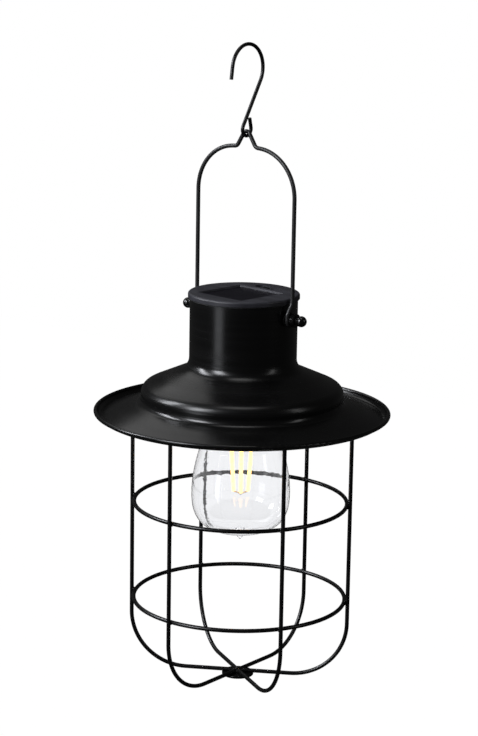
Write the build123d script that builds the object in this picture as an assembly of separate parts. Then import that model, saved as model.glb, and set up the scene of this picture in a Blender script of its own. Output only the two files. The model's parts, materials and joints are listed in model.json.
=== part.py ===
from build123d import *
from math import acos, cos, degrees, pi, radians, sin, sqrt, tan
import os

# Hanging solar lantern. Millimetres, +Z up. The origin is the hanging point: the underside of the
# S-hook's top loop. X runs along the two handle pivots, and the switch lies on the +Y side of the cap.

# ---------------------------------------------------------------- driving dimensions
# S-hook
HOOK_WIRE = 2.2            # wire diameter
HOOK_LOOP_R = 14.5         # centreline radius of the large loop
HOOK_EYE_R = 4.0           # centreline radius of the small loop
HOOK_DROP = 53.9           # top of the large loop to the bottom of the small one, on the centreline
HOOK_TIP_ANGLE = 172.0     # where the straight free end leaves the large loop
HOOK_TIP_LENGTH = 7.5      # straight free end of the large loop
HOOK_EYE_END_ANGLE = 14.0  # where the short free end leaves the small loop
HOOK_EYE_END_LENGTH = 5.5  # straight free end of the small loop

# wire handle
BAIL_WIRE = 2.5
BAIL_HALF_WIDTH = 36.4     # axis to leg centreline
BAIL_HEIGHT = 108.9        # pivot axis to the centreline at the peak
BAIL_SHOULDER_R = 28.0     # large bends at the top of the legs
BAIL_SHOULDER_SLOPE = 4.0  # the shoulders fall this many degrees towards the legs
BAIL_VEE_ANGLE = 31.0      # each side of the peak, from the vertical
BAIL_VEE_HALF_WIDTH = 7.0  # axis to the small bend at the foot of the peak
BAIL_VEE_FOOT_R = 3.2
BAIL_JOG_HEIGHT = 10.0     # leg starts to bend in towards its eye this far above the pivot
BAIL_JOG_R = 9.0
BAIL_EYE_BEND = 3.75       # bend from the leg into its eye
BAIL_EYE_SWEEP = 276.0     # how far each eye is curled round its stud

# pivots
STUD_D = 4.0
STUD_HEAD_R = 3.8
STUD_HEAD_H = 1.2          # thin enough for the bulb to lift out between the heads
STUD_END_INSIDE_NUT = 5.2
WASHER_R = 4.4
WASHER_T = 1.3
NUT_COLLAR_R = 4.1
NUT_COLLAR_L = 3.2
NUT_BALL_R = 3.3
NUT_NECK_R = 2.5
NUT_BALL_OFFSET = 3.2      # collar's outer face to the centre of the ball

# shade, spun from sheet
SHEET = 0.6
NECK_R = 32.6              # outer radius
PIVOT_BELOW_NECK_TOP = 8.4
NECK_HEIGHT = 41.7         # neck top to the corner where the cone starts
CONE_DROP = 12.8           # height of the cone
SHOULDER_R = 61.8          # outer radius at the foot of the cone
STEP_HEIGHT = 9.4          # near-vertical wall under the cone
STEP_R = 61.2
BRIM_DROP = 8.8            # height of the sloping brim
BRIM_TROUGH_R = 86.4
LIP_R = 88.9               # centreline of the rolled edge
LIP_RISE = 3.2             # trough to the centre of the rolled edge
LIP_BEAD_R = 1.25
NECK_ROOT_FILLET = 8.0
SHOULDER_FILLET = 6.0
STEP_FILLET = 4.0
TROUGH_FILLET = 2.4

# wire cage
CAGE_WIRE = 2.5
CAGE_WIRES = 6
CAGE_FIRST_ANGLE = 30.0    # from the X axis
CAGE_R = 67.5              # axis to the upright wires' centreline
CAGE_BEND_R = 34.5         # the wires' bottom bend
CAGE_DEPTH = 172.0         # brim corner to the wires' flat bottom, centreline
RING_HEIGHTS = (109.4, 48.2)   # upper and lower ring above the wires' flat bottom
WELD = 0.2                 # how far welded wires sink into each other
HUB_R = 9.8
HUB_T = 1.6
HUB_WELD_R = 3.4
HUB_WELD_H = 3.0

# solar module: cap, housing and what they hold
MODULE_YAW = -6.0          # the round module sits in the neck turned by this much
CAP_R = 33.7
CAP_T = 3.0
CAP_EDGE = 1.2
SEAL_T = 0.8
SEAL_INSET = 0.7           # cap edge to the seal's edge
SPIGOT_H = 4.0
SPIGOT_WALL = 1.8
HOUSING_R = 28.4
HOUSING_WALL = 1.6
HOUSING_H = 32.0           # below the neck's top edge
BOSS_R = 3.0
BOSS_COUNT = 3
BOSS_CIRCLE = 24.5
BOSS_FIRST_ANGLE = 60.0
CELL_SIZE = 34.0
CELL_OFFSET = -3.1         # along Y from the cap's centre
CELL_T = 0.9
COVER_T = 0.5
WINDOW_DEPTH = 2.1
WINDOW_BEVEL = 1.0
SLOT_OFFSET = 21.7         # along Y from the cap's centre
SLOT_LENGTH = 20.5
SLOT_WIDTH = 7.0
SLOT_DEPTH = 2.2
KNOB_LENGTH = 4.0
KNOB_WIDTH = 3.0
KNOB_H = 2.0               # above the slot's floor
KNOB_GRIPS = 3
KNOB_GRIP_R = 0.3
SWITCH_TRAVEL = 5.0
SWITCH_BODY = (13.0, 4.8, 4.2)
BOARD_T = 1.2
BOARD_R = 25.9
BOARD_EDGE = 6.5           # straight edge of the board, along Y from the axis
POST_R = 2.0
POST_X = 15.0
POST_Y = 11.5
BATTERY_R = 7.1
BATTERY_L = 29.5
BATTERY_EDGE = 0.8
BATTERY_TIP_R = 2.5
BATTERY_TIP_L = 1.2
SPRING_L = 4.5
SPRING_TURNS = 4
SPRING_R = 3.9             # largest turn
SPRING_STEP_IN = 0.57      # each turn is smaller by this radius
SPRING_WIRE = 0.8
CONTACT_T = 0.4
CONTACT_WIDTH = 9.9
CONTACT_HEIGHT = 8.5
TRAY_WALL = 1.6
TRAY_RISE = 1.4            # tray's rim above the battery's axis
PLATE_T = 2.4
SCREW_R = 1.2
SCREW_HEAD_R = 2.4
SCREW_HEAD_H = 1.6
SCREW_SLOT_T = 0.6
SCREW_SLOT_DEPTH = 0.6
BASE_SCREW_DEPTH = 9.0     # into the housing's bosses
BOARD_SCREW_DEPTH = 3.6    # into the posts over the board
CHIP = (5.0, 4.0, 1.6)
CHIP_X = -11.0
PARTS_Y = 17.2             # row of the parts under the board
COIL_R = 2.6
COIL_CORE_R = 1.9
COIL_H = 4.5
COIL_FLANGE = 0.9
LEAD_R = 0.7
LEAD_X = 4.0
LEAD_Y = 12.4
LEAD_TAIL = 3.0            # below the lampholder's flange

# lampholder and bulb
HOLDER_FLANGE_GAP = 0.6    # flange's edge to the heads of the base screws
HOLDER_FLANGE_T = 2.4
HOLDER_WALL = 3.5
HOLDER_BODY_L = 32.0
HOLDER_MOUTH_STEP = 1.5    # mouth's edge beyond the body
HOLDER_MOUTH_L = 9.0
HOLDER_MOUTH_WALL = 1.7
HOLDER_STEP = 3.0          # length of the slope from the body out to the mouth
HOLDER_ROOF = 3.4          # from the base plate to the roof of the socket
LEAF_WIDTH = 4.0
LEAF_ENDS = (-7.0, -3.0, 1.5, 4.0, 6.0)   # along X: held end, bend, bend, touch, raised tip
LEAF_TIP_RISE = 1.0
SHELL_T = 0.5
BASE_R = 13.1              # crest of the bulb's screw thread
BASE_L = 24.0
BASE_WALL = 0.5
THREAD_PITCH = 3.6
THREAD_TURNS = 5
THREAD_CREST_R = 0.9
THREAD_START = 2.5         # top of the base to the first ridge
INSULATOR_L = 3.0
INSULATOR_RIM = 0.6
BUTTON_R = 4.5
BUTTON_L = 1.2
BUTTON_DEPTH = 9.8         # below the underside of the base plate
BULB_R = 30.2
BULB_BELLY_TO_NECK = 46.5
BULB_BELLY_TO_BOTTOM = 26.6
BULB_SQUARENESS = 2.9      # exponent of the rounded bottom
BULB_TAPER = 1.6           # exponent of the taper towards the neck
BULB_TAPER_LENGTH = 64.0   # belly to where the taper would meet the axis
BULB_TAPER_END = 0.45      # share of the taper kept before the curve into the neck
BULB_OUTLINE_STEPS = 9
BULB_NECK_IN_BASE = 3.0
GLASS = 0.9
NIPPLE_R = 2.9
NIPPLE_L = 5.4
NIPPLE_PROFILE = ((1.0, 0.0), (0.8, 0.4), (0.45, 0.8), (0.0, 1.0))   # shares of radius and length
STEM_R = 3.2
STEM_L = 17.0
STEM_FLARE_R = 9.5
STEM_FLARE_L = 7.0
STEM_THROAT_R = 4.8        # foot of the flare
STEM_THROAT_L = 4.0
STEM_TIP_R = 2.2
FILAMENTS = 4
FILAMENT_FIRST_ANGLE = 45.0
FILAMENT_R = 1.1
FILAMENT_L = 29.0
FILAMENT_TOP_R = 6.2       # circle on which the filaments' upper ends lie
FILAMENT_BOTTOM_R = 4.4
FILAMENT_TOP_BELOW_STEM = 2.0
FILAMENT_EDGE = 0.66
SUPPORT_R = 0.45
SUPPORT_START = 0.3        # share of the way from the stem to the filament
CROSS_DROP = 1.5           # the lower cross below the filaments' ends
CROSS_R = 0.9

# clearances
PIVOT_FIT = 0.08           # radial, handle eye on its stud
LINK_GAP = 0.3             # handle wire to hook wire
EYE_SIDE_GAP = 0.25        # each side of the eye, along its stud
HOLE_GAP = 0.1             # radial, stud and screws in their holes
SPIGOT_GAP = 0.35          # radial, cap's spigot in the neck
POCKET_GAP = 0.3           # around the solar cell, all sides
KNOB_GAP = 0.4
BULB_FIT = 0.35            # radial, screw base in its shell
BATTERY_GAP = 0.3
TINY = 0.05                # pieces that lie against each other
OVERCUT = 1.0              # how far a cutting shape runs past a face

# ---------------------------------------------------------------- levels, from the hanging point down
hook_loop_z = HOOK_WIRE / 2 - HOOK_LOOP_R
link_z = HOOK_WIRE / 2 - HOOK_DROP
hook_eye_z = link_z + HOOK_EYE_R
bail_peak_r = (BAIL_WIRE + HOOK_WIRE) / 2 + LINK_GAP
pivot_z = link_z + bail_peak_r - BAIL_HEIGHT
neck_top_z = pivot_z + PIVOT_BELOW_NECK_TOP
cone_z = neck_top_z - NECK_HEIGHT
shoulder_z = cone_z - CONE_DROP
brim_z = shoulder_z - STEP_HEIGHT
trough_z = brim_z - BRIM_DROP
cage_floor_z = brim_z - CAGE_DEPTH
cap_under_z = neck_top_z + SEAL_T
cap_top_z = cap_under_z + CAP_T
housing_floor_z = neck_top_z - HOUSING_H
plate_under_z = housing_floor_z - PLATE_T
holder_flange_z = plate_under_z - HOLDER_FLANGE_T
holder_body_z = plate_under_z - HOLDER_BODY_L
holder_mouth_z = holder_body_z - HOLDER_MOUTH_L
button_z = plate_under_z - BUTTON_DEPTH
base_top_z = button_z - BUTTON_L - INSULATOR_L
base_bottom_z = base_top_z - BASE_L
belly_z = base_bottom_z - BULB_BELLY_TO_NECK
switch_top_z = cap_under_z - TINY
board_top_z = switch_top_z - SWITCH_BODY[2]
board_under_z = board_top_z - BOARD_T
battery_z = housing_floor_z + TRAY_WALL + BATTERY_GAP + BATTERY_R
holder_roof_z = plate_under_z - HOLDER_ROOF
stem_end_z = base_bottom_z - STEM_L

# radii of the bulb's screw base and of the glass neck cemented into it
base_outer_r = BASE_R - THREAD_CREST_R / 2
base_bore_r = base_outer_r - BASE_WALL
bulb_neck_r = base_bore_r - TINY

# the lampholder's socket is as wide as the shell that grips the bulb's base
shell_bore_r = BASE_R + BULB_FIT
holder_bore_r = shell_bore_r + SHELL_T + TINY
holder_r = holder_bore_r + HOLDER_WALL

# positions along a pivot, outwards from the axis
neck_inner_r = NECK_R - SHEET
washer_x = NECK_R
eye_x = washer_x + WASHER_T + EYE_SIDE_GAP + BAIL_WIRE / 2
nut_x = eye_x + BAIL_WIRE / 2 + EYE_SIDE_GAP
eye_r = STUD_D / 2 + PIVOT_FIT + BAIL_WIRE / 2

os.makedirs("parts", exist_ok=True)


def save(name, *solids):
    """Writes one node, as one solid or as a group of separate solids."""
    shape = solids[0] if len(solids) == 1 else Compound(children=list(solids))
    export_step(shape, f"parts/{name}.step")


def cylinder(radius, z_low, z_high, x=0.0, y=0.0):
    return Pos(x, y, z_low) * Cylinder(radius, z_high - z_low, align=(Align.CENTER, Align.CENTER, Align.MIN))


def tube(outer, inner, z_low, z_high):
    return cylinder(outer, z_low, z_high) - cylinder(inner, z_low - OVERCUT, z_high + OVERCUT)


def block(length, width, z_low, z_high, x=0.0, y=0.0):
    return Pos(x, y, z_low) * Box(length, width, z_high - z_low, align=(Align.CENTER, Align.CENTER, Align.MIN))


def round_wire(path, diameter):
    """A round wire swept along a path of lines and tangent arcs."""
    return sweep(Plane(path @ 0, z_dir=path % 0) * Circle(diameter / 2), path=path)


def turned(points):
    """A solid turned about Z from (radius, z) corners."""
    return revolve(Plane.XZ * make_face(Polyline(*points, close=True)), Axis.Z)


def along_x(shape, x, mirrored):
    """Puts a shape built on +Z from 0 on the pivot axis, pointing outwards from x, on either side."""
    side = -1 if mirrored else 1
    return Pos(side * x, 0, pivot_z) * Rot(0, side * 90, 0) * shape


def in_module(shape):
    return Rot(0, 0, MODULE_YAW) * shape


# ---------------------------------------------------------------- S-hook
def make_s_hook():
    distance = hook_loop_z - hook_eye_z
    lean = degrees(acos((HOOK_LOOP_R + HOOK_EYE_R) / distance))
    leave = lean - 90
    with BuildLine(Plane.YZ) as route:
        loop = CenterArc((0, hook_loop_z), HOOK_LOOP_R, HOOK_TIP_ANGLE, leave - HOOK_TIP_ANGLE)
        Line(loop @ 0, loop @ 0 - (loop % 0) * HOOK_TIP_LENGTH)
        eye = CenterArc((0, hook_eye_z), HOOK_EYE_R, leave + 180, 180 + HOOK_EYE_END_ANGLE - leave)
        Line(loop @ 1, eye @ 0)
        Line(eye @ 1, eye @ 1 + (eye % 1) * HOOK_EYE_END_LENGTH)
    return round_wire(Wire(route.edges().sort_by_distance((0, -HOOK_LOOP_R, hook_loop_z))), HOOK_WIRE)


# ---------------------------------------------------------------- handle
def make_bail_handle():
    apex_z = link_z + bail_peak_r / sin(radians(BAIL_VEE_ANGLE))
    foot_z = apex_z - BAIL_VEE_HALF_WIDTH / tan(radians(BAIL_VEE_ANGLE))
    fall = (BAIL_HALF_WIDTH - BAIL_VEE_HALF_WIDTH) * tan(radians(BAIL_SHOULDER_SLOPE))
    jog_z = pivot_z + BAIL_JOG_HEIGHT
    half = [
        (BAIL_VEE_HALF_WIDTH, 0, foot_z),
        (BAIL_HALF_WIDTH, 0, foot_z - fall),
        (BAIL_HALF_WIDTH, 0, jog_z),
        (eye_x, -eye_r, pivot_z + eye_r),
        (eye_x, -eye_r, pivot_z),
    ]
    bends = [BAIL_VEE_FOOT_R, BAIL_SHOULDER_R, BAIL_JOG_R, BAIL_EYE_BEND]
    points = [(-x, y, z) for x, y, z in reversed(half)] + [(0, 0, apex_z)] + half
    legs = FilletPolyline(*points, radius=list(reversed(bends)) + [bail_peak_r] + bends)
    eyes = []
    for side in (-1, 1):
        disc = Plane(origin=(side * eye_x, 0, pivot_z), x_dir=(0, 1, 0), z_dir=(1, 0, 0))
        eyes.append((disc * CenterArc((0, 0), eye_r, 180, BAIL_EYE_SWEEP)).edge())
    return round_wire(Wire([eyes[0]] + list(legs.edges()) + [eyes[1]]), BAIL_WIRE)


# ---------------------------------------------------------------- pivots
def make_stud():
    head_x = sqrt(neck_inner_r**2 - STUD_HEAD_R**2) - TINY
    end_x = nut_x + STUD_END_INSIDE_NUT
    head = Pos(0, 0, head_x - STUD_HEAD_H) * Cylinder(
        STUD_HEAD_R, STUD_HEAD_H, align=(Align.CENTER, Align.CENTER, Align.MIN)
    )
    head = fillet(head.edges().sort_by(Axis.Z)[0], STUD_HEAD_H / 3)
    return head + cylinder(STUD_D / 2, head_x - TINY, end_x)


def make_washer():
    ring = tube(WASHER_R, STUD_D / 2 + HOLE_GAP, 0, WASHER_T)
    return chamfer(ring.edges().filter_by(GeomType.CIRCLE).sort_by(SortBy.RADIUS)[-2:], WASHER_T / 5)


def make_ball_nut():
    collar = cylinder(NUT_COLLAR_R, 0, NUT_COLLAR_L)
    collar = chamfer(collar.edges().filter_by(GeomType.CIRCLE), NUT_COLLAR_L / 6)
    ball = Pos(0, 0, NUT_COLLAR_L + NUT_BALL_OFFSET) * Sphere(NUT_BALL_R)
    neck = cylinder(NUT_NECK_R, NUT_COLLAR_L - TINY, NUT_COLLAR_L + NUT_BALL_OFFSET)
    bore = cylinder(STUD_D / 2 + TINY, -OVERCUT, STUD_END_INSIDE_NUT + TINY)
    return collar + neck + ball - bore


# ---------------------------------------------------------------- shade
def make_shade():
    half = SHEET / 2
    corners = [
        (NECK_R - half, neck_top_z),
        (NECK_R - half, cone_z),
        (SHOULDER_R - half, shoulder_z),
        (STEP_R - half, brim_z),
        (BRIM_TROUGH_R, trough_z),
        (LIP_R - half, trough_z + LIP_RISE),
    ]
    bends = [NECK_ROOT_FILLET, SHOULDER_FILLET, STEP_FILLET, TROUGH_FILLET]
    with BuildLine() as outline:
        FilletPolyline(*corners, radius=bends)
    wall = Plane.XZ * trace(outline.line, SHEET)
    bead = Plane.XZ * Pos(LIP_R, trough_z + LIP_RISE) * Circle(LIP_BEAD_R)
    shade = revolve(wall, Axis.Z) + revolve(bead, Axis.Z)
    hole = Pos(0, 0, pivot_z) * Rot(0, 90, 0) * Cylinder(STUD_D / 2 + HOLE_GAP, NECK_R * 3)
    return shade - hole


# ---------------------------------------------------------------- cage
def brim_under_z(radius):
    """Height of the brim's underside at a radius on its slope."""
    slope = BRIM_DROP / (BRIM_TROUGH_R - STEP_R)
    return brim_z - (radius - STEP_R) * slope - SHEET / 2 * sqrt(1 + slope**2)


def make_cage_wire(angle):
    start_z = brim_under_z(CAGE_R + CAGE_WIRE / 2)
    end_r = CAGE_WIRE / 2 / tan(pi / CAGE_WIRES) + LINK_GAP
    route = FilletPolyline(
        (CAGE_R, 0, start_z), (CAGE_R, 0, cage_floor_z), (end_r, 0, cage_floor_z), radius=CAGE_BEND_R
    )
    return Rot(0, 0, angle) * round_wire(route, CAGE_WIRE)


def make_ring(z):
    return Pos(0, 0, z) * Torus(CAGE_R - CAGE_WIRE + WELD, CAGE_WIRE / 2)


def make_hub_disc():
    top = cage_floor_z - CAGE_WIRE / 2 + WELD
    disc = cylinder(HUB_R, top - HUB_T, top)
    return fillet(disc.edges().filter_by(GeomType.CIRCLE), HUB_T / 4)


def make_hub_weld():
    low = cage_floor_z - CAGE_WIRE / 2 + WELD
    arc_r = (HUB_WELD_R**2 + HUB_WELD_H**2) / (2 * HUB_WELD_H)
    dome = Pos(0, 0, low + HUB_WELD_H - arc_r) * Sphere(arc_r)
    return dome & cylinder(HUB_R, low, low + 2 * HUB_WELD_H)


# ---------------------------------------------------------------- solar module
def boss_spots():
    return [(BOSS_CIRCLE * cos(a), BOSS_CIRCLE * sin(a)) for a in
            (radians(BOSS_FIRST_ANGLE + 360 * n / BOSS_COUNT) for n in range(BOSS_COUNT))]


def make_solar_cap():
    cap = cylinder(CAP_R, cap_under_z, cap_top_z)
    cap = fillet(cap.edges().filter_by(GeomType.CIRCLE).sort_by(Axis.Z)[-1], CAP_EDGE)
    spigot_r = neck_inner_r - SPIGOT_GAP
    cap += tube(spigot_r, spigot_r - SPIGOT_WALL, cap_under_z - SPIGOT_H, cap_under_z + TINY)
    cap += tube(HOUSING_R, HOUSING_R - HOUSING_WALL, housing_floor_z, cap_under_z + TINY)
    for x, y in boss_spots():
        column = cylinder(BOSS_R, housing_floor_z, cap_under_z + TINY, x, y)
        cap += column & cylinder(HOUSING_R, housing_floor_z, cap_under_z + TINY)
    for side in (-1, 1):
        cap += cylinder(POST_R, board_top_z, cap_under_z + TINY, side * POST_X, POST_Y)
        top = board_top_z + BOARD_SCREW_DEPTH
        cap -= cylinder(SCREW_R, board_top_z - OVERCUT, top, side * POST_X, POST_Y)
    for x, y in boss_spots():
        cap -= cylinder(SCREW_R, housing_floor_z - OVERCUT, housing_floor_z + BASE_SCREW_DEPTH, x, y)
    pocket = CELL_SIZE + 2 * POCKET_GAP
    cap -= block(pocket, pocket, cap_top_z - WINDOW_DEPTH, cap_top_z + OVERCUT, 0, CELL_OFFSET)
    mouth = Pos(0, CELL_OFFSET, cap_top_z) * Rectangle(pocket + 2 * WINDOW_BEVEL, pocket + 2 * WINDOW_BEVEL)
    foot = Pos(0, CELL_OFFSET, cap_top_z - WINDOW_BEVEL) * Rectangle(pocket, pocket)
    cap -= loft([foot, mouth])
    cap -= Pos(0, SLOT_OFFSET, cap_top_z - SLOT_DEPTH) * extrude(SlotOverall(SLOT_LENGTH, SLOT_WIDTH), CAP_T)
    run = SWITCH_TRAVEL + KNOB_LENGTH + 2 * KNOB_GAP
    cap -= block(run, KNOB_WIDTH + 2 * KNOB_GAP, cap_under_z - OVERCUT, cap_top_z, 0, SLOT_OFFSET)
    return cap - cylinder(LEAD_R + HOLE_GAP, cap_under_z - OVERCUT, cap_top_z, 0, CELL_OFFSET)


def make_screw(x, y, z, length):
    """A pan-head screw, its head under z and its shank above."""
    head = cylinder(SCREW_HEAD_R, z - SCREW_HEAD_H, z, x, y)
    head = fillet(head.edges().sort_by(Axis.Z)[0], SCREW_HEAD_H / 2)
    low = z - SCREW_HEAD_H
    slot = block(2 * SCREW_HEAD_R + OVERCUT, SCREW_SLOT_T, low - OVERCUT, low + SCREW_SLOT_DEPTH, x, y)
    return head - slot + cylinder(SCREW_R - TINY, z - TINY, z + length, x, y)


def make_seal():
    return tube(CAP_R - SEAL_INSET, neck_inner_r - SPIGOT_GAP + TINY, neck_top_z, cap_under_z)


def make_cell():
    floor = cap_top_z - WINDOW_DEPTH
    return block(CELL_SIZE, CELL_SIZE, floor, floor + CELL_T, 0, CELL_OFFSET)


def make_cell_cover():
    low = cap_top_z - WINDOW_DEPTH + CELL_T
    return block(CELL_SIZE, CELL_SIZE, low, low + COVER_T, 0, CELL_OFFSET)


def make_switch_body():
    length, width, height = SWITCH_BODY
    body = block(length, width, switch_top_z - height, switch_top_z, 0, SLOT_OFFSET)
    run = SWITCH_TRAVEL + KNOB_LENGTH + 2 * KNOB_GAP
    low = switch_top_z - height / 2
    well = block(run, KNOB_WIDTH + 2 * KNOB_GAP, low, switch_top_z + OVERCUT, 0, SLOT_OFFSET)
    return body - well


def make_switch_knob():
    low = switch_top_z - SWITCH_BODY[2] / 2 + KNOB_GAP
    high = cap_top_z - SLOT_DEPTH + KNOB_H
    x = -SWITCH_TRAVEL / 2
    knob = block(KNOB_LENGTH, KNOB_WIDTH, low, high, x, SLOT_OFFSET)
    knob = fillet(knob.edges().filter_by(Axis.Z), KNOB_WIDTH / 6)
    for n in range(KNOB_GRIPS):
        along = x + KNOB_LENGTH * ((n + 1) / (KNOB_GRIPS + 1) - 1 / 2)
        knob -= Pos(along, SLOT_OFFSET, high) * Rot(90, 0, 0) * Cylinder(KNOB_GRIP_R, 2 * KNOB_WIDTH)
    return knob


def make_board():
    keep = block(2 * BOARD_R, BOARD_R, board_under_z, board_top_z, 0, BOARD_EDGE + BOARD_R / 2)
    board = cylinder(BOARD_R, board_under_z, board_top_z) & keep
    holes = [(BOSS_R + POCKET_GAP, x, y) for x, y in boss_spots()]
    for side in (-1, 1):
        holes += [(SCREW_R + HOLE_GAP, side * POST_X, POST_Y), (LEAD_R + HOLE_GAP, side * LEAD_X, LEAD_Y)]
    for radius, x, y in holes:
        board -= cylinder(radius, board_under_z - OVERCUT, board_top_z + OVERCUT, x, y)
    return board


def make_leads():
    low = holder_flange_z - LEAD_TAIL
    return [cylinder(LEAD_R, low, board_top_z, side * LEAD_X, LEAD_Y) for side in (-1, 1)]


def make_chip():
    length, width, height = CHIP
    return block(length, width, board_under_z - height, board_under_z, CHIP_X, PARTS_Y)


def make_inductor():
    low = board_under_z - COIL_H
    body = cylinder(COIL_R, low, board_under_z)
    groove = tube(COIL_R + OVERCUT, COIL_CORE_R, low + COIL_FLANGE, board_under_z - COIL_FLANGE)
    return Pos(0, PARTS_Y, 0) * (body - groove)


def make_battery():
    can_l = BATTERY_L - BATTERY_TIP_L
    x = (SPRING_L - CONTACT_T) / 2
    can = Pos(x - BATTERY_TIP_L / 2, 0, battery_z) * Rot(0, 90, 0) * Cylinder(BATTERY_R, can_l)
    can = fillet(can.edges().filter_by(GeomType.CIRCLE), BATTERY_EDGE)
    tip = Pos(x + can_l / 2, 0, battery_z) * Rot(0, 90, 0) * Cylinder(BATTERY_TIP_R, BATTERY_TIP_L)
    return can + tip


def tray_half_length():
    return (BATTERY_L + SPRING_L + CONTACT_T) / 2 + BATTERY_GAP


def make_battery_tray():
    half = tray_half_length()
    wide = 2 * (BATTERY_R + BATTERY_GAP + TRAY_WALL)
    tray = block(2 * (half + TRAY_WALL), wide, housing_floor_z, battery_z + TRAY_RISE)
    return tray - block(2 * half, wide - 2 * TRAY_WALL, housing_floor_z + TRAY_WALL, battery_z + BATTERY_R)


def contact_plate(x):
    return Pos(x, 0, battery_z) * Box(CONTACT_T, CONTACT_WIDTH, CONTACT_HEIGHT)


def make_battery_spring():
    """Conical contact spring, as stacked turns joined to each other and to a back plate."""
    back = TINY - tray_half_length()
    step = (SPRING_L - CONTACT_T) / SPRING_TURNS
    spring = contact_plate(back + CONTACT_T / 2)
    for n in range(SPRING_TURNS):
        x = back + CONTACT_T + step * (n + 1 / 2)
        radius = SPRING_R - SPRING_STEP_IN * n
        spring += Pos(x, 0, battery_z) * Rot(0, 90, 0) * Torus(radius, SPRING_WIRE / 2)
        spring += Pos(x, 0, battery_z - radius) * Box(step + 2 * TINY, SPRING_WIRE, SPRING_WIRE)
    return spring


def make_battery_plate():
    return contact_plate(tray_half_length() - CONTACT_T / 2 - TINY)


def make_base_plate():
    plate = cylinder(HOUSING_R, plate_under_z, housing_floor_z)
    plate = fillet(plate.edges().sort_by(Axis.Z)[0], PLATE_T / 3)
    holes = [(SCREW_R + HOLE_GAP, x, y) for x, y in boss_spots()]
    holes += [(LEAD_R + HOLE_GAP, side * LEAD_X, LEAD_Y) for side in (-1, 1)]
    for radius, x, y in holes:
        plate -= cylinder(radius, plate_under_z - OVERCUT, housing_floor_z + OVERCUT, x, y)
    return plate


def make_lamp_holder():
    flange_r = BOSS_CIRCLE - SCREW_HEAD_R - HOLDER_FLANGE_GAP
    mouth_r = holder_r + HOLDER_MOUTH_STEP
    mouth_bore_r = mouth_r - HOLDER_MOUTH_WALL
    holder = turned([
        (0, plate_under_z), (flange_r, plate_under_z), (flange_r, holder_flange_z), (holder_r, holder_flange_z),
        (holder_r, holder_body_z), (mouth_r, holder_body_z - HOLDER_STEP), (mouth_r, holder_mouth_z),
        (mouth_bore_r, holder_mouth_z), (mouth_bore_r, holder_body_z - HOLDER_STEP),
        (holder_bore_r, holder_body_z), (holder_bore_r, holder_roof_z), (0, holder_roof_z),
    ])
    for side in (-1, 1):
        low = holder_roof_z - OVERCUT
        holder -= cylinder(LEAD_R + HOLE_GAP, low, plate_under_z + OVERCUT, side * LEAD_X, LEAD_Y)
    return holder


def make_holder_shell():
    low = base_bottom_z + BULB_NECK_IN_BASE
    return tube(shell_bore_r + SHELL_T, shell_bore_r, low, base_top_z + INSULATOR_L)


def make_centre_contact():
    """Leaf spring from the holder's roof down to the bulb's contact button."""
    high = holder_roof_z - CONTACT_T
    low = button_z + CONTACT_T + TINY
    heights = (high, high, low, low, low + LEAF_TIP_RISE)
    with BuildLine(Plane.XZ) as route:
        Polyline(*zip(LEAF_ENDS, heights))
    strip = make_face(offset(route.line, CONTACT_T / 2, side=Side.BOTH).edges())
    return extrude(strip, LEAF_WIDTH / 2, both=True)


# ---------------------------------------------------------------- bulb
def make_screw_base():
    base = tube(base_outer_r, base_bore_r, base_bottom_z, base_top_z)
    core = cylinder(base_outer_r - BASE_WALL / 2, base_bottom_z, base_top_z)
    for n in range(THREAD_TURNS):
        z = base_top_z - THREAD_START - THREAD_PITCH * n
        base += Pos(0, 0, z) * Torus(BASE_R - THREAD_CREST_R, THREAD_CREST_R) - core
    return base


def make_base_insulator():
    top_z = base_top_z + INSULATOR_L
    return turned([(0, base_top_z), (base_outer_r, base_top_z), (base_outer_r, base_top_z + INSULATOR_RIM),
                   (BUTTON_R + INSULATOR_RIM, top_z), (0, top_z)])


def make_contact_button():
    button = cylinder(BUTTON_R, base_top_z + INSULATOR_L, button_z)
    return fillet(button.edges().sort_by(Axis.Z)[-1], BUTTON_L / 2)


def bulb_outline(wall):
    """The bulb's outline, set in from the outer face by a wall: (radius, z) from the bottom to the neck."""
    belly_r = BULB_R - wall
    lower = []
    for n in range(BULB_OUTLINE_STEPS):
        t = 1 - (n / BULB_OUTLINE_STEPS) ** 2
        radius = belly_r * (1 - t**BULB_SQUARENESS) ** (1 / BULB_SQUARENESS)
        lower.append((radius, belly_z - (BULB_BELLY_TO_BOTTOM - wall) * t))
    upper = []
    last = BULB_OUTLINE_STEPS - 3
    for n in range(last + 1):
        t = BULB_TAPER_END * n / last
        upper.append((belly_r * (1 - t**BULB_TAPER) ** (1 / BULB_TAPER), belly_z + BULB_TAPER_LENGTH * t))
    return lower + upper


def make_bulb_glass():
    skins = []
    for wall in (0, GLASS):
        neck_r = bulb_neck_r - wall
        roof_z = base_bottom_z + BULB_NECK_IN_BASE + wall
        with BuildSketch(Plane.XZ) as half:
            with BuildLine():
                body = Spline(*bulb_outline(wall), (neck_r, base_bottom_z), tangents=[(1, 0), (0, 1)])
                rise = Line(body @ 1, (neck_r, roof_z))
                roof = Line(rise @ 1, (0, roof_z))
                Line(roof @ 1, body @ 0)
            make_face()
        skins.append(revolve(half.sketch, Axis.Z))
    root_z = belly_z - BULB_BELLY_TO_BOTTOM
    tip = [(NIPPLE_R * wide, root_z - NIPPLE_L * down) for wide, down in NIPPLE_PROFILE]
    nipple = turned([(0, root_z + GLASS / 2), (NIPPLE_R, root_z + GLASS / 2)] + tip)
    return skins[0] + nipple - skins[1]


def make_stem():
    flare_z = base_bottom_z - STEM_FLARE_L
    return turned([
        (0, base_bottom_z), (STEM_FLARE_R, base_bottom_z), (STEM_THROAT_R, flare_z),
        (STEM_R, flare_z - STEM_THROAT_L), (STEM_R, stem_end_z + STEM_R),
        (STEM_TIP_R, stem_end_z + STEM_R - STEM_TIP_R), (0, stem_end_z),
    ])


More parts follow.
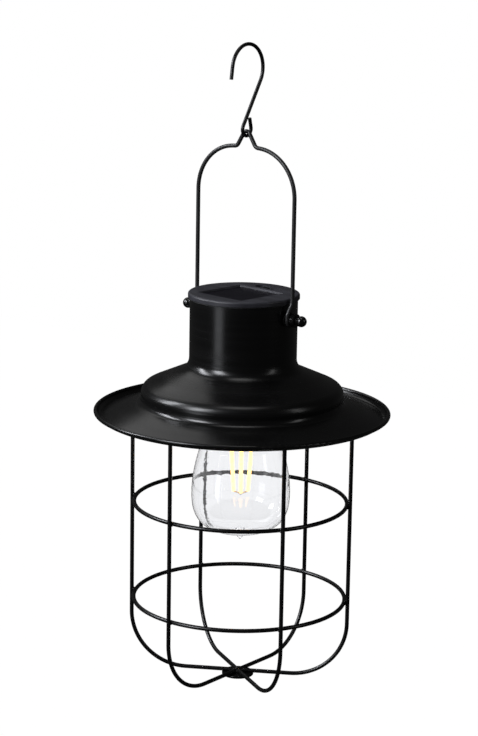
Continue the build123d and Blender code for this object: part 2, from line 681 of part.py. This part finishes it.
def filament_ends(n):
    angle = radians(FILAMENT_FIRST_ANGLE + 360 * n / FILAMENTS)
    top_z = stem_end_z - FILAMENT_TOP_BELOW_STEM
    drop = sqrt(FILAMENT_L**2 - (FILAMENT_TOP_R - FILAMENT_BOTTOM_R) ** 2)
    top = Vector(FILAMENT_TOP_R * cos(angle), FILAMENT_TOP_R * sin(angle), top_z)
    bottom = Vector(FILAMENT_BOTTOM_R * cos(angle), FILAMENT_BOTTOM_R * sin(angle), top_z - drop)
    return top, bottom


def rod(start, end, radius):
    direction = end - start
    return Plane(origin=start, z_dir=direction) * Cylinder(
        radius, direction.length, align=(Align.CENTER, Align.CENTER, Align.MIN)
    )


def make_filament(n):
    top, bottom = filament_ends(n)
    strip = rod(top, bottom, FILAMENT_R)
    return fillet(strip.edges().filter_by(GeomType.CIRCLE), FILAMENT_EDGE)


def make_supports():
    """Four upper leads from the stem, and a lower cross that joins the filaments' bottom ends."""
    stem = Vector(0, 0, stem_end_z + CROSS_R)
    ends = [filament_ends(n) for n in range(FILAMENTS)]
    leads = [rod(stem + (top - stem) * SUPPORT_START, top, SUPPORT_R) for top, bottom in ends]
    middle = Vector(0, 0, ends[0][1].Z - CROSS_DROP)
    cross = Pos(*middle) * Sphere(CROSS_R)
    for top, bottom in ends:
        cross += rod(middle, bottom, SUPPORT_R)
    return leads + [cross]


# ---------------------------------------------------------------- write the nodes
save("s_hook", make_s_hook())
save("bail_handle", make_bail_handle())

both_sides = (False, True)
save("pivot_studs", *[along_x(make_stud(), 0, m) for m in both_sides])
save("pivot_washers", *[along_x(make_washer(), washer_x, m) for m in both_sides])
save("ball_nuts", *[along_x(make_ball_nut(), nut_x, m) for m in both_sides])

save("shade", make_shade())
for wire in range(CAGE_WIRES):
    save(f"cage_wire_{wire + 1}", make_cage_wire(CAGE_FIRST_ANGLE + 360 * wire / CAGE_WIRES))
save("cage_top_ring", make_ring(brim_under_z(CAGE_R) - CAGE_WIRE / 2 - LINK_GAP))
save("cage_upper_ring", make_ring(cage_floor_z + RING_HEIGHTS[0]))
save("cage_lower_ring", make_ring(cage_floor_z + RING_HEIGHTS[1]))
save("cage_hub_disc", make_hub_disc())
save("cage_hub_weld", make_hub_weld())

board_screw_l = BOARD_T + BOARD_SCREW_DEPTH - HOLE_GAP
base_screw_l = PLATE_T + BASE_SCREW_DEPTH - HOLE_GAP
module = {
    "solar_cap": [make_solar_cap()],
    "cap_seal": [make_seal()],
    "solar_cell": [make_cell()],
    "cell_cover": [make_cell_cover()],
    "switch_body": [make_switch_body()],
    "switch_knob": [make_switch_knob()],
    "circuit_board": [make_board()],
    "board_screws": [make_screw(side * POST_X, POST_Y, board_under_z, board_screw_l) for side in (-1, 1)],
    "driver_chip": [make_chip()],
    "inductor": [make_inductor()],
    "battery": [make_battery()],
    "battery_tray": [make_battery_tray()],
    "battery_spring": [make_battery_spring()],
    "battery_contact": [make_battery_plate()],
    "base_plate": [make_base_plate()],
    "base_screws": [make_screw(x, y, plate_under_z, base_screw_l) for x, y in boss_spots()],
    "bulb_leads": make_leads(),
    "lamp_holder": [make_lamp_holder()],
    "holder_shell": [make_holder_shell()],
    "centre_contact": [make_centre_contact()],
    "bulb_screw_base": [make_screw_base()],
    "bulb_insulator": [make_base_insulator()],
    "bulb_contact": [make_contact_button()],
    "bulb_glass": [make_bulb_glass()],
    "bulb_stem": [make_stem()],
    "filament_supports": make_supports(),
}
for number in range(FILAMENTS):
    module[f"filament_{number + 1}"] = [make_filament(number)]
for name, solids in module.items():
    save(name, *[in_module(solid) for solid in solids])
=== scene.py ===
"""Looks of the hanging solar lantern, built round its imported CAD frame. Metres, +Z up."""
import json
import math
import random

import bmesh
import bpy
from mathutils import Matrix, Vector


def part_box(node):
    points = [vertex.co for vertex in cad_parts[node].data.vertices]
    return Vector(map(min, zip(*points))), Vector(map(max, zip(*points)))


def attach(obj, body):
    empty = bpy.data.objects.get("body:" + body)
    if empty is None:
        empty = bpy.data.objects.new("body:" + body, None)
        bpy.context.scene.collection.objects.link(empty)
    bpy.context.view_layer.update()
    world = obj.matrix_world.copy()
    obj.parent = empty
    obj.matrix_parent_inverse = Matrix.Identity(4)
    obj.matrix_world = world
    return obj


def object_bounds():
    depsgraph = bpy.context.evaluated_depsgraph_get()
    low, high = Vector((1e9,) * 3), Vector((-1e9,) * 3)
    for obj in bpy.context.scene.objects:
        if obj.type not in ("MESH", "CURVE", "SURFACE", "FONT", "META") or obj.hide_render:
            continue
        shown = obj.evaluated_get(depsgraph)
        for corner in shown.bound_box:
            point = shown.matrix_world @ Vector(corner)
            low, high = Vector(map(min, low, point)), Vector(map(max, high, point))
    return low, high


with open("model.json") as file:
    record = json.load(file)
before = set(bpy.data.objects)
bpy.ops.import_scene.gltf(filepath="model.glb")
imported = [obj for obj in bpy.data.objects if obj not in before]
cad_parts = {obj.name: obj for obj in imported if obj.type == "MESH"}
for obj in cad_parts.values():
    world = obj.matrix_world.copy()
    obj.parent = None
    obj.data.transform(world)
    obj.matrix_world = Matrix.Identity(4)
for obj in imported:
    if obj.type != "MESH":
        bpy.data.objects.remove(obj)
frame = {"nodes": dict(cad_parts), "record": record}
cad_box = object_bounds()
nodes = frame["nodes"]

# ---------------------------------------------------------------- sizes
MODULE_YAW = math.radians(-6.0)     # the solar module's turn in the neck
CAGE_WIRES = 6
CAGE_FIRST_ANGLE = 30               # degrees from the X axis
RING_SINK = 0.0002                  # how far the rings are welded into the wires
BEAD_RADIUS = 0.000775              # of a weld bead
BEAD_SPREAD = (0.85, 1.15)          # smallest and largest bead, as shares of that radius
BEAD_OFFSET = 0.55                  # of a bead from the crossing's middle, as a share of the wire's radius
BEAD_RIPPLE = 0.08                  # how uneven a bead is, as a share of its radius
WELD_SEED = 7

# finishes
MOTTLE_SIZE = 12                    # patches of colour are this many times coarser than the grain
GLOSS_SIZE = 5                      # and patches of gloss this many times
GRAIN_STRENGTH = 0.35
COAT_ROUGHNESS = 0.12
FILM_COLOURS = ((0.01, 0.01, 0.014), (0.02, 0.02, 0.028))
CELL_COLOURS = ((0.003, 0.002, 0.007), (0.018, 0.014, 0.03))    # between the collector lines, and on them
CELL_LINE_SCALE = 110.0
CELL_LINE_START = 0.93              # of the wave's height, above which a line shows
CELL_ROUGHNESS = 0.28
FILAMENT_SHADE = 0.8                # its dimmest part, as a share of its brightest
# the same black, over the fine rings that spinning leaves; on the handle's wire a duller finish, whose greyer
# colour is a painted highlight standing in for the light its lit side catches
OWN_LOOKS = {"shade": "shade_coat", "bail_handle": "handle_coat_painted_highlight"}

# studio
WORLD_LIGHT = 0.03                  # grey of the studio, as the surfaces reflect it
FLOOR_DROP = 3.2                    # from the lantern down to the floor, so that it can be seen from below
FLOOR_HALF = 12.0
FLOOR_GREY = 0.05
LIGHT_TARGET = (0, 0, -0.2)
COOL = (0.93, 0.95, 1.0)
WHITE = (1, 1, 1)
LIGHTS = (                          # name, place, width, height, watts, colour
    ("key_left_front", (-0.4, -1.48, 0.6), 0.55, 0.8, 20, COOL),
    ("key_low", (-0.4, -1.48, -0.35), 0.45, 0.55, 1.4, COOL),
    ("strip_left", (-1.25, -0.75, 0.6), 0.3, 0.9, 16, COOL),
    ("card_back_left", (-1.0, 0.4, 0.85), 0.9, 0.9, 1.8, WHITE),
    ("fill_right", (1.45, 0.35, 0.3), 0.25, 0.9, 1.2, WHITE),
    ("top", (0.1, -0.25, 1.5), 0.7, 0.7, 2.6, WHITE),
)

# camera, at the photograph's viewing angle
CAMERA_AT = Vector((0.8183, -1.0436, 0.1051))
CAMERA_FORWARD = Vector((-0.6033, 0.7667, -0.2198)).normalized()
CAMERA_ROLL = math.radians(0.944)
CAMERA_LENS = 109.86
SENSOR_HEIGHT = 36.0


# ---------------------------------------------------------------- materials
def new_material(name):
    """An empty material: its node tree and its Principled shader."""
    material = bpy.data.materials.new(name)
    material.use_nodes = True
    return material, material.node_tree, material.node_tree.nodes["Principled BSDF"]


def noise(tree, scale, detail=4.0, stretch=(1, 1, 1), turn=0.0):
    """Noise fixed to the object, in metres, and its factor output."""
    where = tree.nodes.new("ShaderNodeTexCoord")
    mapping = tree.nodes.new("ShaderNodeMapping")
    mapping.inputs["Scale"].default_value = stretch
    mapping.inputs["Rotation"].default_value = (0, 0, turn)
    tree.links.new(where.outputs["Object"], mapping.inputs["Vector"])
    texture = tree.nodes.new("ShaderNodeTexNoise")
    texture.inputs["Scale"].default_value = scale
    texture.inputs["Detail"].default_value = detail
    tree.links.new(mapping.outputs["Vector"], texture.inputs["Vector"])
    return texture.outputs["Fac"]


def ramp(tree, factor, low, high, start=0.3, end=0.7):
    """A colour between low and high as factor goes from start to end."""
    node = tree.nodes.new("ShaderNodeValToRGB")
    node.color_ramp.elements[0].position = start
    node.color_ramp.elements[1].position = end
    node.color_ramp.elements[0].color = (*low, 1)
    node.color_ramp.elements[1].color = (*high, 1)
    tree.links.new(factor, node.inputs["Fac"])
    return node.outputs["Color"]


def grey(low, high):
    """Two neutral colours."""
    return (low,) * 3, (high,) * 3


def surface(name, low, high, rough, grain, bump, metallic=0.0, coat=0.0, stretch=(1, 1, 1), turn=0.0):
    """Mottled colour, uneven gloss and a fine surface grain. bump is the grain's depth in metres."""
    material, tree, shader = new_material(name)
    mottle = noise(tree, grain / MOTTLE_SIZE, 3.0, stretch, turn)
    tree.links.new(ramp(tree, mottle, low, high), shader.inputs["Base Color"])
    gloss = ramp(tree, noise(tree, grain / GLOSS_SIZE, 5.0, stretch, turn), *grey(*rough))
    tree.links.new(gloss, shader.inputs["Roughness"])
    relief = tree.nodes.new("ShaderNodeBump")
    relief.inputs["Strength"].default_value = GRAIN_STRENGTH
    relief.inputs["Distance"].default_value = bump
    tree.links.new(noise(tree, grain, 2.0, stretch, turn), relief.inputs["Height"])
    tree.links.new(relief.outputs["Normal"], shader.inputs["Normal"])
    shader.inputs["Metallic"].default_value = metallic
    shader.inputs["Coat Weight"].default_value = coat
    shader.inputs["Coat Roughness"].default_value = COAT_ROUGHNESS
    return material


def clear(name, tint, roughness, ior):
    """Clear glass."""
    material, tree, shader = new_material(name)
    shader.inputs["Base Color"].default_value = (*tint, 1)
    shader.inputs["Roughness"].default_value = roughness
    shader.inputs["IOR"].default_value = ior
    shader.inputs["Transmission Weight"].default_value = 1.0
    return material


def film(name, alpha):
    """A thin clear sheet with uneven gloss, which lets light through to what lies under it."""
    material = surface(name, *FILM_COLOURS, (0.08, 0.16), 900, 0.000002)
    material.node_tree.nodes["Principled BSDF"].inputs["Alpha"].default_value = alpha
    return material


def silicon(name):
    """The solar cell: near-black violet, with fine pale collector lines."""
    material, tree, shader = new_material(name)
    where = tree.nodes.new("ShaderNodeTexCoord")
    mapping = tree.nodes.new("ShaderNodeMapping")
    mapping.inputs["Rotation"].default_value = (0, 0, -MODULE_YAW)
    tree.links.new(where.outputs["Object"], mapping.inputs["Vector"])
    lines = tree.nodes.new("ShaderNodeTexWave")
    lines.inputs["Scale"].default_value = CELL_LINE_SCALE
    tree.links.new(mapping.outputs["Vector"], lines.inputs["Vector"])
    colour = ramp(tree, lines.outputs["Fac"], *CELL_COLOURS, CELL_LINE_START, 1.0)
    tree.links.new(colour, shader.inputs["Base Color"])
    shader.inputs["Roughness"].default_value = CELL_ROUGHNESS
    return material


def glowing(name, colour, strength):
    """A lit filament, a little uneven along its length."""
    material, tree, shader = new_material(name)
    uneven = ramp(tree, noise(tree, 700.0), tuple(c * FILAMENT_SHADE for c in colour), colour)
    tree.links.new(uneven, shader.inputs["Base Color"])
    tree.links.new(uneven, shader.inputs["Emission Color"])
    shader.inputs["Emission Strength"].default_value = strength
    return material


looks = {
    "black_powder_coat": surface("black_powder_coat", *grey(0.002, 0.004), (0.26, 0.32), 600, 0.0000015),
    "shade_coat": surface("shade_coat", *grey(0.002, 0.004), (0.2, 0.3), 1400, 0.000006,
                          stretch=(0.03, 0.03, 1)),
    # painted highlight: the handle's greyer base colour stands in for the light its lit side catches; its
    # duller gloss is the wire's own finish
    "handle_coat_painted_highlight": surface("handle_coat_painted_highlight", *grey(0.014, 0.022), (0.34, 0.42), 600, 0.0000015),
    "black_hook_wire": surface("black_hook_wire", *grey(0.002, 0.004), (0.28, 0.36), 800, 0.0000015),
    "black_hardware": surface("black_hardware", *grey(0.002, 0.004), (0.12, 0.2), 2500, 0.00001, coat=0.4),
    "cap_plastic": surface("cap_plastic", (0.022, 0.022, 0.027), (0.046, 0.046, 0.056), (0.36, 0.48), 1500,
                           0.00003, stretch=(0.12, 1, 1), turn=-MODULE_YAW),
    "seal_rubber": surface("seal_rubber", *grey(0.01, 0.02), (0.6, 0.75), 1200, 0.00004),
    "solar_silicon": silicon("solar_silicon"),
    "cell_cover": film("cell_cover", 0.25),
    "switch_plastic": surface("switch_plastic", *grey(0.008, 0.014), (0.35, 0.5), 2000, 0.00002),
    "board_green": surface("board_green", (0.006, 0.05, 0.02), (0.012, 0.08, 0.03), (0.25, 0.4), 1500,
                           0.00001),
    "black_component": surface("black_component", *grey(0.012, 0.02), (0.4, 0.55), 2500, 0.00001),
    "battery_sleeve": surface("battery_sleeve", (0.03, 0.2, 0.07), (0.05, 0.28, 0.1), (0.2, 0.32), 500,
                              0.00001),
    "bright_steel": surface("bright_steel", *grey(0.5, 0.62), (0.22, 0.36), 2000, 0.00001, metallic=1.0),
    "lead_sleeve": surface("lead_sleeve", (0.28, 0.01, 0.01), (0.36, 0.02, 0.02), (0.4, 0.55), 1500, 0.00001),
    "holder_plastic": surface("holder_plastic", *grey(0.008, 0.014), (0.3, 0.45), 1500, 0.00002),
    "brass": surface("brass", (0.62, 0.42, 0.16), (0.74, 0.54, 0.24), (0.2, 0.34), 1500, 0.00001,
                     metallic=1.0),
    "nickel_base": surface("nickel_base", *grey(0.6, 0.7), (0.14, 0.24), 1500, 0.00001, metallic=1.0),
    "insulator_black": surface("insulator_black", *grey(0.004, 0.008), (0.08, 0.16), 1500, 0.00001),
    "clear_glass": clear("clear_glass", (0.962, 0.966, 0.978), 0.0, 1.45),
    "filament_phosphor": glowing("filament_phosphor", (1.0, 0.57, 0.18), 3.4),
}

slots = {part["node"]: part["material_slot"] for part in frame["record"]["subparts"]}
for name, node in nodes.items():
    node.data.materials.clear()
    node.data.materials.append(looks[OWN_LOOKS.get(name, slots[name])])


# ---------------------------------------------------------------- weld beads where rings cross the cage wires
def weld_beads():
    """One mesh of small uneven beads, in the corners above and below each crossing."""
    rng = random.Random(WELD_SEED)
    beads = bmesh.new()
    low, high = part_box("cage_wire_2")
    wire_radius = (high.x - low.x) / 2
    wire_centre_r = max(abs(low.y), abs(high.y)) - wire_radius
    for ring in ("cage_upper_ring", "cage_lower_ring"):
        ring_low, ring_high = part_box(ring)
        ring_z = (ring_low.z + ring_high.z) / 2
        seam_r = wire_centre_r - wire_radius + RING_SINK / 2
        for n in range(CAGE_WIRES):
            angle = math.radians(CAGE_FIRST_ANGLE + 360 / CAGE_WIRES * n)
            for side in (-1, 1):
                for way in (-1, 1):
                    radial = Vector((math.cos(angle), math.sin(angle), 0))
                    across = Vector((-math.sin(angle), math.cos(angle), 0))
                    centre = radial * seam_r + across * (side * wire_radius * BEAD_OFFSET)
                    centre.z = ring_z + way * wire_radius * BEAD_OFFSET
                    add_bead(beads, centre, BEAD_RADIUS * rng.uniform(*BEAD_SPREAD), rng)
    return finish_mesh(beads, "cage_weld_beads")


def add_bead(beads, centre, radius, rng):
    """A small ball, rippled round its middle."""
    made = bmesh.ops.create_icosphere(beads, subdivisions=3, radius=radius)
    phase = rng.uniform(0, 2 * math.pi)
    for vertex in made["verts"]:
        ripple = 1 + BEAD_RIPPLE * math.sin(3 * math.atan2(vertex.co.y, vertex.co.x) + phase)
        vertex.co = vertex.co * ripple + centre


def finish_mesh(built, name):
    """The built mesh as a smooth object in the scene."""
    mesh = bpy.data.meshes.new(name)
    built.to_mesh(mesh)
    built.free()
    for face in mesh.polygons:
        face.use_smooth = True
    piece = bpy.data.objects.new(name, mesh)
    bpy.context.scene.collection.objects.link(piece)
    return piece


beads = weld_beads()
beads.data.materials.append(looks["black_powder_coat"])
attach(beads, "lantern")


# ---------------------------------------------------------------- floor, light and camera
def floor():
    """A plain white floor, which the surfaces don't reflect."""
    mesh = bpy.data.meshes.new("floor")
    level = cad_box[0][2] - FLOOR_DROP
    corners = [(x * FLOOR_HALF, y * FLOOR_HALF, level) for x, y in ((-1, -1), (1, -1), (1, 1), (-1, 1))]
    mesh.from_pydata(corners, [], [(0, 1, 2, 3)])
    plane = bpy.data.objects.new("floor", mesh)
    bpy.context.scene.collection.objects.link(plane)
    material, tree, shader = new_material("floor_white")
    shader.inputs["Base Color"].default_value = (FLOOR_GREY, FLOOR_GREY, FLOOR_GREY, 1)
    shader.inputs["Roughness"].default_value = 0.9
    shader.inputs["Emission Color"].default_value = (1, 1, 1, 1)
    shader.inputs["Emission Strength"].default_value = 1.0
    mesh.materials.append(material)
    plane.visible_glossy = False
    plane.visible_diffuse = False


def softbox(name, at, width, height, watts, colour):
    data = bpy.data.lights.new(name, "AREA")
    data.shape = "RECTANGLE"
    data.size = width
    data.size_y = height
    data.energy = watts
    data.color = colour
    light = bpy.data.objects.new(name, data)
    bpy.context.scene.collection.objects.link(light)
    light.location = at
    light.rotation_euler = (Vector(LIGHT_TARGET) - Vector(at)).to_track_quat("-Z", "Y").to_euler()


def camera():
    level_right = CAMERA_FORWARD.cross(Vector((0, 0, 1))).normalized()
    level_up = level_right.cross(CAMERA_FORWARD)
    right = math.cos(CAMERA_ROLL) * level_right + math.sin(CAMERA_ROLL) * level_up
    up = math.cos(CAMERA_ROLL) * level_up - math.sin(CAMERA_ROLL) * level_right
    data = bpy.data.cameras.new("camera")
    data.sensor_fit = "VERTICAL"
    data.sensor_height = SENSOR_HEIGHT
    data.lens = CAMERA_LENS
    item = bpy.data.objects.new("camera", data)
    bpy.context.scene.collection.objects.link(item)
    turn = Matrix((right, up, -CAMERA_FORWARD)).transposed().to_4x4()
    item.matrix_world = Matrix.Translation(CAMERA_AT) @ turn
    bpy.context.scene.camera = item


def studio_world():
    """White behind the lantern and through its glass, and dark in what the surfaces reflect."""
    world = bpy.data.worlds.new("studio")
    world.use_nodes = True
    bpy.context.scene.world = world
    tree = world.node_tree
    paths = tree.nodes.new("ShaderNodeLightPath")
    seen = tree.nodes.new("ShaderNodeMath")
    seen.operation = "MAXIMUM"
    tree.links.new(paths.outputs["Is Camera Ray"], seen.inputs[0])
    tree.links.new(paths.outputs["Is Transmission Ray"], seen.inputs[1])
    backdrop = ramp(tree, seen.outputs[0], (WORLD_LIGHT,) * 3, WHITE, 0.0, 1.0)
    tree.links.new(backdrop, tree.nodes["Background"].inputs["Color"])


studio_world()
bpy.context.scene.view_settings.view_transform = "Standard"
floor()
for row in LIGHTS:
    softbox(*row)
camera()
